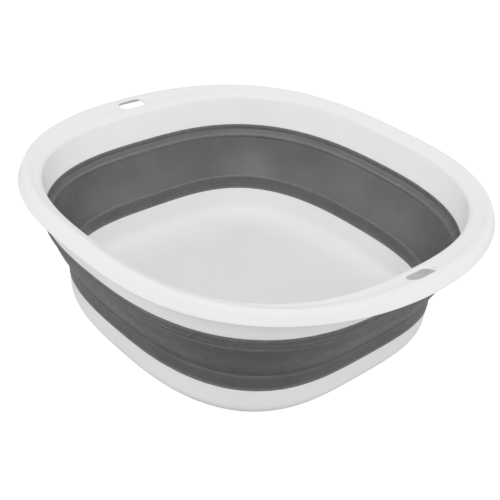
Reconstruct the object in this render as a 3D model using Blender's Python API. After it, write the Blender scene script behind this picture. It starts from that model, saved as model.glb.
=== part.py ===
"""Collapsible foot basin: a stiff rim and a stiff tub joined by a soft folding wall.

Every outline is a rounded rectangle |x / half_x| ** square_x + |y / half_y| ** square_y = 1.
Each shell is a loop of such outlines that runs down its outer side, round its end and back
up its inner side. The basin stands on z = 0 with its centre on the z axis, and the two
handles lie at +X and -X. All sizes are in metres.
"""
import math

import bmesh
import bpy
import numpy as np

# Overall sizes of the open basin.
OVERALL_LENGTH = 0.430
OVERALL_WIDTH = 0.396
OVERALL_HEIGHT = 0.1442

# Heights of the two seams between the stiff parts and the soft wall.
TUB_SEAM_Z = 0.0353
RIM_HEIGHT = 0.0395

# How far the outer edge of the lip stands beyond the middle of the wall at the rim seam.
HANDLE_REACH = 0.0338
SIDE_REACH = 0.0184

# How far the wall leans in between its two seams.
LEAN_LENGTH = 0.0234
LEAN_WIDTH = 0.0256

# The stiff mouldings.
PLASTIC = 0.0028
SEAM_THICKNESS = 0.0030
HANDLE_LIP_DROP = 0.0098
SIDE_LIP_DROP = 0.0116
FLANGE_FALL = 0.0048
CREST_CORNER = 0.0012
SKIRT_FILLET = 0.0060
LIP_FILLET = 0.0065
HANDLE_LEDGE = 0.0235
SIDE_LEDGE = 0.0100
HANDLE_SAG = 0.0018
SIDE_SAG = 0.0004
SAG_FILLET = 0.0300
LIP_SPREAD = 0.0062
TUB_LEAN = 0.0022
TUB_FILLET = 0.0160

# The tongue on each stiff part and the groove in the soft wall that holds it.
TONGUE = 0.0010
TONGUE_DEPTH = 0.0050
GAP = 0.0003

# The soft wall: the bands above and below its two hinges, its leans and its thicknesses.
UPPER_BAND = 0.0108
LOWER_BAND = 0.0167
UPPER_HINGE_IN = 0.0034
LOWER_HINGE_OUT = 0.0012
PANEL_TOP = 0.0028
PANEL_FOOT = 0.0018
HINGE = 0.0012
PANEL_BULGE = 0.0020
SHOULDER = 0.0040
SEAT_FILLET = 0.0040
HINGE_FILLET = 0.0020
PANEL_FILLET = 0.1500

# The hanging slot through each handle.
SLOT_LENGTH = 0.029
SLOT_WIDTH = 0.0130
SLOT_INSET = 0.0185

# The four pads under the floor.
FOOT_DIAMETER = 0.026
FOOT_THICKNESS = 0.0026
FOOT_STANDS_OUT = 0.0015
FOOT_SPACING_LENGTH = 0.190
FOOT_SPACING_WIDTH = 0.186

# How square each outline is, along X and along Y.
SQUARE_TUB_FLOOR = (2.86, 3.30)
SQUARE_TUB_SEAM = (2.63, 3.30)
SQUARE_RIM_SEAM = (2.45, 2.80)
SQUARE_CREST = (2.65, 2.50)
SQUARE_LIP = (2.75, 2.05)

# Number of points round each outline.
AROUND = 64

RIM_SEAM_Z = OVERALL_HEIGHT - RIM_HEIGHT
SEAM_HALF_X = OVERALL_LENGTH / 2 - HANDLE_REACH
SEAM_HALF_Y = OVERALL_WIDTH / 2 - SIDE_REACH
FOOT_HALF_X = SEAM_HALF_X - LEAN_LENGTH
FOOT_HALF_Y = SEAM_HALF_Y - LEAN_WIDTH
UPPER_HINGE_Z = RIM_SEAM_Z - UPPER_BAND
LOWER_HINGE_Z = TUB_SEAM_Z + LOWER_BAND
SEAT_DEPTH = TONGUE_DEPTH + 3 * GAP


def clear_scene():
    """Remove every object that a new file starts with."""
    for old in list(bpy.data.objects):
        bpy.data.objects.remove(old, do_unlink=True)


def plastic(name, colour, roughness):
    """Make a plain plastic finish."""
    material = bpy.data.materials.new(name)
    material.use_nodes = True
    shader = material.node_tree.nodes["Principled BSDF"]
    shader.inputs["Base Color"].default_value = (*colour, 1.0)
    shader.inputs["Roughness"].default_value = roughness
    shader.inputs["Metallic"].default_value = 0.0
    return material


def bent_path(corners, radii, steps):
    """Join corner points with straight runs and round each inner corner.

    Returns the points, the unit normals to their right and the share of the whole length
    at which each point lies.
    """
    corners = [np.array(c, float) for c in corners]
    points = [corners[0]]
    for i in range(1, len(corners) - 1):
        before, here, after = corners[i - 1], corners[i], corners[i + 1]
        into = (here - before) / np.linalg.norm(here - before)
        out = (after - here) / np.linalg.norm(after - here)
        turn = math.acos(float(np.clip(np.dot(into, out), -1.0, 1.0)))
        room = 0.48 * min(np.linalg.norm(here - before), np.linalg.norm(after - here))
        trim = min(radii[i - 1] * math.tan(turn / 2), room)
        radius = trim / math.tan(turn / 2)
        side = 1.0 if into[0] * out[1] - into[1] * out[0] > 0 else -1.0
        normal = side * np.array([-into[1], into[0]])
        start = here - into * trim
        centre = start + normal * radius
        for k in range(steps[i - 1] + 1):
            angle = side * turn * k / steps[i - 1]
            arm = start - centre
            c, s = math.cos(angle), math.sin(angle)
            points.append(centre + np.array([c * arm[0] - s * arm[1], s * arm[0] + c * arm[1]]))
    points.append(corners[-1])
    points = np.array(points)
    along = np.gradient(points, axis=0)
    along /= np.linalg.norm(along, axis=1)[:, None]
    normals = np.stack([along[:, 1], -along[:, 0]], axis=1)
    length = np.concatenate([[0.0], np.cumsum(np.linalg.norm(np.diff(points, axis=0), axis=1))])
    return points, normals, length / length[-1]


def outline(reach_x, reach_y, square):
    """One rounded rectangle; each reach is (half size, height), blended round the outline."""
    turn = 2 * np.pi * np.arange(AROUND) / AROUND
    c, s = np.cos(turn), np.sin(turn)
    x = reach_x[0] * np.sign(c) * np.abs(c) ** (2 / square[0])
    y = reach_y[0] * np.sign(s) * np.abs(s) ** (2 / square[1])
    z = reach_x[1] * c ** 2 + reach_y[1] * s ** 2
    return np.stack([x, y, z], axis=1)


def add_mesh(name, points, faces, material):
    """Make one object from points and faces, shade its round sides smooth."""
    mesh = bpy.data.meshes.new(name)
    mesh.from_pydata([tuple(p) for p in points], [], faces)
    body = bmesh.new()
    body.from_mesh(mesh)
    bmesh.ops.recalc_face_normals(body, faces=body.faces)
    if body.calc_volume(signed=True) < 0:
        bmesh.ops.reverse_faces(body, faces=body.faces)
    body.to_mesh(mesh)
    body.free()
    obj = bpy.data.objects.new(name, mesh)
    obj.data.materials.append(material)
    bpy.context.scene.collection.objects.link(obj)
    mesh.shade_smooth()
    mesh.set_sharp_from_angle(angle=math.radians(35))
    return obj


def add_loop_shell(name, loop_x, loop_y, squares, material, poles=()):
    """Skin a closed shell through a list of outlines.

    With no poles the last outline joins the first. With two poles (heights on the z axis)
    the first outline closes on the first pole and the last outline on the second.
    """
    rings = [outline(px, py, sq) for px, py, sq in zip(loop_x, loop_y, squares)]
    points = [p for ring in rings for p in ring]
    count = len(rings)
    faces = []
    last = count if not poles else count - 1
    for i in range(last):
        a, b = i * AROUND, ((i + 1) % count) * AROUND
        for k in range(AROUND):
            n = (k + 1) % AROUND
            faces.append((a + k, a + n, b + n, b + k))
    if poles:
        points.append((0.0, 0.0, poles[0]))
        points.append((0.0, 0.0, poles[1]))
        for k in range(AROUND):
            n = (k + 1) % AROUND
            faces.append((len(points) - 2, n, k))
            faces.append((len(points) - 1, (count - 1) * AROUND + k, (count - 1) * AROUND + n))
    return add_mesh(name, points, faces, material)


def add_disc(name, radius, bottom, top, chamfer, centre, material, around=32):
    """A round pad with its lower edge chamfered, standing at centre."""
    levels = [(radius - chamfer, bottom), (radius, bottom + chamfer), (radius, top)]
    points = []
    for size, z in levels:
        for k in range(around):
            a = 2 * math.pi * k / around
            points.append((centre[0] + size * math.cos(a), centre[1] + size * math.sin(a), z))
    faces = [tuple(range(around)), tuple(range(2 * around, 3 * around))]
    for i in range(2):
        for k in range(around):
            n = (k + 1) % around
            faces.append((i * around + k, i * around + n, (i + 1) * around + n,
                          (i + 1) * around + k))
    return add_mesh(name, points, faces, material)


def add_slot_cutter(name, length, width, low, high, centre, steps=8):
    """An upright slot with round ends, as long as it is along Y."""
    radius = width / 2
    straight = length / 2 - radius
    rim = []
    for end in (1, -1):
        for k in range(steps + 1):
            a = math.pi * k / steps + (0.0 if end == 1 else math.pi)
            rim.append((centre[0] + radius * math.cos(a),
                        centre[1] + end * straight + radius * math.sin(a)))
    count = len(rim)
    points = [(x, y, low) for x, y in rim] + [(x, y, high) for x, y in rim]
    faces = [tuple(range(count)), tuple(range(count, 2 * count))]
    for k in range(count):
        n = (k + 1) % count
        faces.append((k, n, count + n, count + k))
    return add_mesh(name, points, faces, bpy.data.materials[0])


def cut(target, cutters):
    """Take the cutters out of the target and remove them."""
    for cutter in cutters:
        cutter.hide_render = True
        cutter.display_type = "WIRE"
        hole = target.modifiers.new(cutter.name, "BOOLEAN")
        hole.operation = "DIFFERENCE"
        hole.solver = "EXACT"
        hole.object = cutter
    graph = bpy.context.evaluated_depsgraph_get()
    finished = bpy.data.meshes.new_from_object(target.evaluated_get(graph))
    target.modifiers.clear()
    target.data = finished
    finished.shade_smooth()
    finished.set_sharp_from_angle(angle=math.radians(35))
    for cutter in cutters:
        bpy.data.objects.remove(cutter, do_unlink=True)


def squares_along(share, shares, squares):
    """How square the outline is at each share of the way along a path."""
    return [(float(np.interp(s, shares, [q[0] for q in squares])),
             float(np.interp(s, shares, [q[1] for q in squares]))) for s in share]


def rim_path(seam, lip, ledge, drop, sag):
    """Middle line of the rim in one upright plane, from the seam up and out to the lip."""
    crest = lip - LIP_SPREAD
    low = OVERALL_HEIGHT - PLASTIC / 2 - FLANGE_FALL
    high = OVERALL_HEIGHT - PLASTIC / 2 + CREST_CORNER
    corners = [(seam, RIM_SEAM_Z), (crest - ledge, low),
               (crest - ledge / 2, (low + high) / 2 - sag), (crest, high),
               (lip, OVERALL_HEIGHT - drop)]
    return bent_path(corners, (SKIRT_FILLET, SAG_FILLET, LIP_FILLET), (4, 3, 6))


def tongue_points(middle, seam_z, way):
    """Corners of a seam tongue from the inner side to the outer side; way is up or down."""
    tip = seam_z + way * TONGUE_DEPTH
    return [(middle - TONGUE / 2, seam_z), (middle - TONGUE / 2, tip),
            (middle + TONGUE / 2, tip), (middle + TONGUE / 2, seam_z)]


def groove_points(middle, seam_z, way):
    """Corners of a seam groove from the inner side to the outer side; way is up or down."""
    half = TONGUE / 2 + GAP
    mouth = seam_z + way * GAP
    tip = seam_z + way * (TONGUE_DEPTH + GAP)
    return [(middle - half, mouth), (middle - half, tip), (middle + half, tip),
            (middle + half, mouth)]


def rim_loop(seam, lip, ledge, drop, sag):
    """Closed outline of the rim in one upright plane, and the share of the way at each point."""
    path, normal, share = rim_path(seam, lip, ledge, drop, sag)
    normal[0] = (1.0, 0.0)
    half = np.interp(share, (0.0, 0.15, 1.0), (SEAM_THICKNESS / 2, PLASTIC / 2, PLASTIC / 2))
    end = path[-1] - path[-2]
    tip = path[-1] + end / np.linalg.norm(end) * PLASTIC * 0.4
    loop = list(path + normal * half[:, None]) + [tip]
    loop += list((path - normal * half[:, None])[::-1])
    loop += tongue_points(seam, RIM_SEAM_Z, -1)
    shares = list(share) + [1.0] + list(share[::-1]) + [0.0] * 4
    return loop, shares


def add_rim(material):
    """The stiff upper ring: skirt, flange, rolled lip, seam tongue and two hanging slots."""
    lip_x = OVERALL_LENGTH / 2 - PLASTIC / 2
    lip_y = OVERALL_WIDTH / 2 - PLASTIC / 2
    loop_x, shares = rim_loop(SEAM_HALF_X, lip_x, HANDLE_LEDGE, HANDLE_LIP_DROP, HANDLE_SAG)
    loop_y, _ = rim_loop(SEAM_HALF_Y, lip_y, SIDE_LEDGE, SIDE_LIP_DROP, SIDE_SAG)
    squares = squares_along(shares, (0.0, 0.55, 1.0),
                            (SQUARE_RIM_SEAM, SQUARE_CREST, SQUARE_LIP))
    rim = add_loop_shell("rim", loop_x, loop_y, squares, material)
    slot_x = OVERALL_LENGTH / 2 - SLOT_INSET
    cutters = [add_slot_cutter("slot", SLOT_LENGTH, SLOT_WIDTH, OVERALL_HEIGHT - 0.020,
                               OVERALL_HEIGHT + 0.010, (side * slot_x, 0.0))
               for side in (1, -1)]
    cut(rim, cutters)
    return rim


def wall_path(top, bottom):
    """Middle line of the folding wall in one upright plane, from the rim seam to the tub seam."""
    high = RIM_SEAM_Z - GAP
    low = TUB_SEAM_Z + GAP
    upper = (top - UPPER_HINGE_IN, UPPER_HINGE_Z)
    lower = (bottom + LOWER_HINGE_OUT, LOWER_HINGE_Z)
    middle = ((upper[0] + lower[0]) / 2 + PANEL_BULGE, (upper[1] + lower[1]) / 2)
    corners = [(top, high), (top, RIM_SEAM_Z - SEAT_DEPTH), upper, middle, lower,
               (bottom, TUB_SEAM_Z + SEAT_DEPTH), (bottom, low)]
    radii = (SEAT_FILLET, HINGE_FILLET, PANEL_FILLET, HINGE_FILLET, SEAT_FILLET)
    return bent_path(corners, radii, (1, 3, 2, 3, 1))


def wall_loop(top, bottom):
    """Closed outline of the folding wall in one upright plane."""
    path, normal, _ = wall_path(top, bottom)
    normal[0] = normal[-1] = (-1.0, 0.0)
    marks = [TUB_SEAM_Z + SEAT_DEPTH, LOWER_HINGE_Z - SHOULDER, LOWER_HINGE_Z,
             LOWER_HINGE_Z + SHOULDER, UPPER_HINGE_Z - SHOULDER, UPPER_HINGE_Z,
             RIM_SEAM_Z - SEAT_DEPTH]
    sizes = [SEAM_THICKNESS, SEAM_THICKNESS, HINGE, PANEL_FOOT, PANEL_TOP, HINGE,
             SEAM_THICKNESS]
    half = np.interp(path[:, 1], marks, sizes) / 2
    loop = list(path - normal * half[:, None])
    loop += groove_points(bottom, TUB_SEAM_Z, 1)[::-1]
    loop += list((path + normal * half[:, None])[::-1])
    loop += groove_points(top, RIM_SEAM_Z, -1)
    return loop


def add_folding_wall(material):
    """The soft wall: a band at each seam, two hinges and the panel that folds between them."""
    loop_x = wall_loop(SEAM_HALF_X, FOOT_HALF_X)
    loop_y = wall_loop(SEAM_HALF_Y, FOOT_HALF_Y)
    heights = [z for _, z in loop_x]
    ends = (TUB_SEAM_Z + SEAT_DEPTH, RIM_SEAM_Z - SEAT_DEPTH)
    squares = squares_along(heights, ends, (SQUARE_TUB_SEAM, SQUARE_RIM_SEAM))
    return add_loop_shell("folding_wall", loop_x, loop_y, squares, material)


def tub_loop(seam):
    """Outline of the tub in one upright plane, from its underside round to its floor."""
    floor_z = FOOT_STANDS_OUT + PLASTIC / 2
    corners = [(seam, TUB_SEAM_Z), (seam - TUB_LEAN, floor_z), (seam * 0.55, floor_z)]
    path, normal, share = bent_path(corners, (TUB_FILLET,), (7,))
    normal[0] = (-1.0, 0.0)
    half = np.interp(share, (0.0, 0.15, 1.0), (SEAM_THICKNESS / 2, PLASTIC / 2, PLASTIC / 2))
    loop = list((path - normal * half[:, None])[::-1])
    loop += tongue_points(seam, TUB_SEAM_Z, 1)[::-1]
    loop += list(path + normal * half[:, None])
    shares = list(share[::-1]) + [0.0] * 4 + list(share)
    return loop, shares


def foot_places():
    """Centres of the four pads."""
    return [(sx * FOOT_SPACING_LENGTH / 2, sy * FOOT_SPACING_WIDTH / 2)
            for sx in (1, -1) for sy in (1, -1)]


def add_base_tub(material):
    """The stiff tub: seam tongue, low side, large rounded foot of the side and flat floor."""
    loop_x, shares = tub_loop(FOOT_HALF_X)
    loop_y, _ = tub_loop(FOOT_HALF_Y)
    squares = squares_along(shares, (0.0, 0.6), (SQUARE_TUB_SEAM, SQUARE_TUB_FLOOR))
    poles = (FOOT_STANDS_OUT, FOOT_STANDS_OUT + PLASTIC)
    tub = add_loop_shell("base_tub", loop_x, loop_y, squares, material, poles)
    cutters = [add_disc("recess", FOOT_DIAMETER / 2 + GAP, -0.01, FOOT_THICKNESS + GAP, 0.0005,
                        place, material) for place in foot_places()]
    cut(tub, cutters)
    return tub


def add_feet(material):
    """The four soft pads let into the underside."""
    pads = []
    for number, place in enumerate(foot_places(), 1):
        pads.append(add_disc(f"foot_{number}", FOOT_DIAMETER / 2, 0.0, FOOT_THICKNESS, 0.0004,
                             place, material))
    return pads


def main():
    """Build the basin open, as it stands ready for use."""
    clear_scene()
    white = plastic("white_plastic", (0.86, 0.86, 0.86), 0.42)
    tub_white = plastic("tub_white_plastic", (0.84, 0.84, 0.84), 0.45)
    grey = plastic("grey_soft_plastic", (0.20, 0.20, 0.20), 0.60)
    pad_grey = plastic("grey_pad_plastic", (0.16, 0.16, 0.16), 0.70)
    add_rim(white)
    add_folding_wall(grey)
    add_base_tub(tub_white)
    add_feet(pad_grey)


main()
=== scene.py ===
"""Collapsible foot basin: finished mouldings, their plastics and a plain studio.

Each moulding is a closed surface on a grid. One direction runs round a rounded rectangle and
the other runs along the moulding's section, which is drawn twice: once in the upright plane
through the handles (X) and once across it (Y). Heights and reaches between the two planes are
blended round the outline. The basin stands on z = 0, and all sizes are in metres.
"""

import logging
from dataclasses import dataclass
from enum import Enum

import bmesh
import bpy
import numpy as np
from mathutils import Matrix, Vector


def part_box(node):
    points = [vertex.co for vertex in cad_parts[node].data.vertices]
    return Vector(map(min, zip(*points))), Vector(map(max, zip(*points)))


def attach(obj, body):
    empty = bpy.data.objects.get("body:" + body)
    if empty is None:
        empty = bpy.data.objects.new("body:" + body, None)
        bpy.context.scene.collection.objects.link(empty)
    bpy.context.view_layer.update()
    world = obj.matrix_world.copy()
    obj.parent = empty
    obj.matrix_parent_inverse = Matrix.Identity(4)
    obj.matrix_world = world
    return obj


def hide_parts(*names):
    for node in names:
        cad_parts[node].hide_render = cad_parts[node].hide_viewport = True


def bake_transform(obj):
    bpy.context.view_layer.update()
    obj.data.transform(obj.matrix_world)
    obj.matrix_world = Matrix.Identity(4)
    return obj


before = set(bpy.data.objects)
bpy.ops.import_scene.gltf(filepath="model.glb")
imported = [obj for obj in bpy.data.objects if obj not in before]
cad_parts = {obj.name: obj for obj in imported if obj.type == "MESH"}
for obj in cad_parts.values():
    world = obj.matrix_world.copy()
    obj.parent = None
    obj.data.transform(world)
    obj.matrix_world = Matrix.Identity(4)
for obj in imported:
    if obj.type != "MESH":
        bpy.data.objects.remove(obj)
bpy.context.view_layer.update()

log = logging.getLogger("foot_basin")
PAD_NUMBERS = (1, 2, 3, 4)
RUN_SHARE = 0.48    # most of a straight run that one rounding may take
EDGE_SHARE = 0.4    # most of a section's edge that one softened corner may take
HALVINGS = 40       # steps when a height is looked up on a surface
FULL = (0.0, 1.0)
RANGE_SOCKETS = ("From Min", "From Max", "To Min", "To Max")


class Body(Enum):
    """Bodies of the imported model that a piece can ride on."""

    BASE = "base"
    RIM = "rim"


class Slot(Enum):
    """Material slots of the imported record."""

    WHITE = "white_plastic"
    GREY = "grey_soft_plastic"
    PAD = "grey_pad"


class Side(Enum):
    """Which way along X a handle lies."""

    PLUS = 1
    MINUS = -1


# ---------------------------------------------------------------- sections and surfaces


def full_turn(count: int) -> np.ndarray:
    """Equal steps of a full turn, in radians, from zero."""
    return 2 * np.pi * np.arange(count) / count


def bearing(azimuth: float, elevation: float) -> Vector:
    """Unit vector that way, in degrees; azimuth 0 is -Y and 90 is +X."""
    a, e = np.radians((azimuth, elevation))
    return Vector((np.sin(a) * np.cos(e), -np.cos(a) * np.cos(e), np.sin(e)))


def spokes(ring: np.ndarray, pole: int) -> np.ndarray:
    """Triangles from each step of a ring to a pole."""
    return np.stack([ring, np.roll(ring, -1), np.full_like(ring, pole)], axis=1)


def eased(share: np.ndarray) -> np.ndarray:
    """Smooth step: 3 s^2 - 2 s^3 of the share held between 0 and 1."""
    held = np.clip(share, 0.0, 1.0)
    return held * held * (3.0 - 2.0 * held)


def eased_through(places: np.ndarray, marks: list[float], values: list[float]) -> np.ndarray:
    """Carry a value smoothly from mark to mark.

    Formula: between two marks the value is first + (second - first) * smooth step of the
    share of the way, and it is level before the first mark and after the last.

    Args:
        places: Where the value is wanted.
        marks: Rising places at which the value is known.
        values: The value at each mark.

    Returns:
        The value at each place.
    """
    at, known = np.asarray(marks, float), np.asarray(values, float)
    step = np.clip(np.searchsorted(at, places) - 1, 0, len(at) - 2)
    share = (places - at[step]) / (at[step + 1] - at[step])
    return known[step] + (known[step + 1] - known[step]) * eased(share)


def curved_through(places: np.ndarray, marks: tuple, values: tuple) -> np.ndarray:
    """The one parabola through three marks and their values, at each place."""
    return np.polyval(np.polyfit(marks, values, 2), places)


def bent_line(corners: list, radii: tuple, runs: tuple, turns: tuple) -> np.ndarray:
    """Join corner points with straight runs and round each inner corner.

    Formula: the line leaves a run the length t = radius * tan(turn / 2) before the corner,
    follows the arc whose centre lies one radius to the inner side, and joins the next run t
    after the corner. t is at most RUN_SHARE of the shorter run.

    Args:
        corners: Points (reach, height) from the first to the last.
        radii: Radius at each inner corner.
        runs: Steps on each straight run.
        turns: Steps on each arc.

    Returns:
        An array of points, two columns.
    """
    points = np.asarray(corners, float)
    run = np.diff(points, axis=0)
    length = np.linalg.norm(run, axis=1)
    way = run / length[:, None]
    cross = way[:-1, 0] * way[1:, 1] - way[:-1, 1] * way[1:, 0]
    turn = np.arctan2(cross, (way[:-1] * way[1:]).sum(axis=1))
    half_tan = np.tan(np.abs(turn) / 2)
    trim = np.minimum(np.asarray(radii) * half_tan,
                      RUN_SHARE * np.minimum(length[:-1], length[1:]))
    start = points[1:-1] - way[:-1] * trim[:, None]
    stop = points[1:-1] + way[1:] * trim[:, None]
    inward = np.stack([-way[:-1, 1], way[:-1, 0]], axis=1) * np.sign(turn)[:, None]
    centre = start + inward * (trim / half_tan)[:, None]
    leave = np.concatenate([points[:1], stop])
    reach = np.concatenate([start, points[-1:]])
    parts = []
    for i in range(len(run)):
        share = np.arange(runs[i])[:, None] / runs[i]
        parts.append(leave[i] + (reach[i] - leave[i]) * share)
        if i < len(turn):
            angle = turn[i] * np.arange(turns[i]) / turns[i]
            arm = start[i] - centre[i]
            cos, sin = np.cos(angle), np.sin(angle)
            parts.append(centre[i] + np.stack([cos * arm[0] - sin * arm[1],
                                               sin * arm[0] + cos * arm[1]], axis=1))
    parts.append(points[-1:])
    return np.concatenate(parts)


def measured(line: np.ndarray) -> tuple[np.ndarray, np.ndarray]:
    """Measure a line.

    Args:
        line: Points, two columns.

    Returns:
        The unit normal to the right of travel at each point, and the share of the whole
        length at which each point lies.
    """
    length = np.concatenate([[0.0], np.cumsum(np.linalg.norm(np.diff(line, axis=0), axis=1))])
    along = np.gradient(line, length, axis=0)
    along /= np.linalg.norm(along, axis=1)[:, None]
    return np.stack([along[:, 1], -along[:, 0]], axis=1), length / length[-1]


def round_end(tip: np.ndarray, normal: np.ndarray, half: float, depth: float,
              steps: int) -> np.ndarray:
    """Close the end of a wall with half an ellipse.

    Formula: point = tip + normal * half * cos a + forward * depth * sin a, a from 0 to 180
    degrees without its ends, where forward is the normal turned a quarter to the left.

    Args:
        tip: End of the middle line.
        normal: Unit normal there, to the right of travel.
        half: Half the wall's thickness.
        depth: How far the end stands beyond the tip.
        steps: Number of arcs.

    Returns:
        The points between the wall's two faces.
    """
    a = np.pi * np.arange(1, steps)[:, None] / steps
    forward = np.array([-normal[1], normal[0]])
    return tip + normal * half * np.cos(a) + forward * depth * np.sin(a)


def softened(loop: np.ndarray, sharp: np.ndarray, radius: float, steps: int) -> tuple:
    """Round chosen corners of a closed section.

    Formula: a corner C is replaced by the curve (1-a)^2 P + 2 a (1-a) C + a^2 N, where P and N
    lie on its two edges, one radius away or EDGE_SHARE of the edge if that is less.

    Args:
        loop: Corner points of the closed section.
        sharp: True for each corner that is rounded.
        radius: How far from the corner the rounding starts.
        steps: Number of parts in each rounding.

    Returns:
        The new section, and for each of its points the number of the old point it came from.
    """
    back, ahead = np.roll(loop, 1, axis=0) - loop, np.roll(loop, -1, axis=0) - loop
    back_size = np.linalg.norm(back, axis=1)[:, None]
    ahead_size = np.linalg.norm(ahead, axis=1)[:, None]
    before = loop + back / back_size * np.minimum(radius, EDGE_SHARE * back_size)
    after = loop + ahead / ahead_size * np.minimum(radius, EDGE_SHARE * ahead_size)
    a = (np.arange(steps + 1) / steps)[None, :, None]
    curve = ((1 - a) ** 2 * before[:, None] + 2 * a * (1 - a) * loop[:, None]
             + a ** 2 * after[:, None])
    count = np.where(sharp, steps + 1, 1)
    source = np.repeat(np.arange(len(loop)), count)
    place = np.arange(len(source)) - np.repeat(np.cumsum(count) - count, count)
    points = np.where(sharp[source][:, None], curve[source, place], loop[source])
    return points, source


def edge_wear(loop: np.ndarray, radius: float) -> np.ndarray:
    """How much each point of a closed section stands out as an edge.

    Formula: the turn at the point over the length it is spread on gives the bend; the wear is
    bend * radius held between 0 and 1, with the outward sense counted as positive.

    Args:
        loop: Points of the closed section.
        radius: Bend radius at which the wear is full.

    Returns:
        A number from 0 to 1 for each point.
    """
    back, ahead = loop - np.roll(loop, 1, axis=0), np.roll(loop, -1, axis=0) - loop
    cross = back[:, 0] * ahead[:, 1] - back[:, 1] * ahead[:, 0]
    turn = np.arctan2(cross, (back * ahead).sum(axis=1))
    spread = (np.linalg.norm(back, axis=1) + np.linalg.norm(ahead, axis=1)) / 2
    area = (loop[:, 0] * np.roll(loop[:, 1], -1) - np.roll(loop[:, 0], -1) * loop[:, 1]).sum()
    bend = np.sign(area) * turn / spread
    for _ in range(2):
        bend = (np.roll(bend, 1) + 2 * bend + np.roll(bend, -1)) / 4
    return np.clip(bend * radius, 0.0, 1.0)


@dataclass
class RoundedShell:
    """Rounded rectangles carried along a section.

    Formula of the surface: x = reach_x sgn(c) |c|^(2/p), y = reach_y sgn(s) |s|^(2/q) and
    z = height_x c^2 + height_y s^2, where p and q are how square the outline is at that
    station, and c and s are |cos a|^even and |sin a|^even scaled so that c^2 + s^2 = 1, which
    spreads the columns evenly.

    Attributes:
        section_x: Reach and height of each station in the X plane.
        section_y: Reach and height of each station in the Y plane.
        squares: The two exponents p and q of each station.
        around: Number of columns.
        even: Exponent that spreads the columns.
    """

    section_x: np.ndarray
    section_y: np.ndarray
    squares: np.ndarray
    around: int = 512
    even: float = 1.3

    def compass(self) -> tuple[np.ndarray, np.ndarray]:
        """The signed c and s of every column."""
        a = full_turn(self.around)
        c = np.sign(np.cos(a)) * np.abs(np.cos(a)) ** self.even
        s = np.sign(np.sin(a)) * np.abs(np.sin(a)) ** self.even
        size = np.hypot(c, s)
        return c / size, s / size

    def points(self) -> np.ndarray:
        """Every point of the surface, stations by columns by three."""
        c, s = self.compass()
        power = 2.0 / self.squares
        x = self.section_x[:, :1] * np.sign(c) * np.abs(c) ** power[:, :1]
        y = self.section_y[:, :1] * np.sign(s) * np.abs(s) ** power[:, 1:]
        z = self.section_x[:, 1:] * c ** 2 + self.section_y[:, 1:] * s ** 2
        return np.stack([x, y, z], axis=2)

    def height(self, rows: np.ndarray, plan: np.ndarray) -> np.ndarray:
        """Height of the surface over points of the plan.

        Formula: the place t along the rows is found by halving, so that |x/reach_x|^p +
        |y/reach_y|^q = 1 there; the height is height_x |x/reach_x|^p + height_y |y/reach_y|^q.

        Args:
            rows: Stations in the order in which their outlines grow.
            plan: Points, two columns.

        Returns:
            The height at each point.
        """
        grid = np.arange(len(rows))
        table = np.concatenate([self.section_x[rows], self.section_y[rows],
                                self.squares[rows]], axis=1)
        low, high = np.zeros(len(plan)), np.full(len(plan), len(rows) - 1.0)
        x, y = np.abs(plan[:, 0]), np.abs(plan[:, 1])
        for _ in range(HALVINGS):
            t = (low + high) / 2
            rx, zx, ry, zy, p, q = (np.interp(t, grid, column) for column in table.T)
            in_x, in_y = (x / rx) ** p, (y / ry) ** q
            outside = in_x + in_y > 1.0
            low, high = np.where(outside, t, low), np.where(outside, high, t)
        return zx * in_x + zy * in_y


def grid_faces(index: np.ndarray, close_rows: bool) -> np.ndarray:
    """Quads over a grid of point numbers whose columns close on themselves.

    Args:
        index: Point numbers, rows by columns.
        close_rows: Whether the last row also joins the first.

    Returns:
        Four point numbers for each face, rows by columns by four.
    """
    below = np.roll(index, -1, axis=0) if close_rows else index[1:]
    above = index if close_rows else index[:-1]
    return np.stack([above, np.roll(above, -1, axis=1), np.roll(below, -1, axis=1), below],
                    axis=2)


def window_loop(first: int, last: int, left: int, right: int) -> tuple[np.ndarray, np.ndarray]:
    """Walk round a window of a grid, from the middle of its last row.

    Args:
        first: First row.
        last: Last row.
        left: First column, which may be below zero.
        right: Last column.

    Returns:
        Row and column numbers of the points on the window's border, in order.
    """
    middle = (left + right) // 2
    across, down = right - left, last - first
    columns = np.concatenate([np.arange(middle, right), np.full(down, right),
                              np.arange(right, left, -1), np.full(down, left),
                              np.arange(left, middle)])
    rows = np.concatenate([np.full(right - middle, last), np.arange(last, first, -1),
                           np.full(across, first), np.arange(first, last),
                           np.full(middle - left, last)])
    return rows, columns


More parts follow.
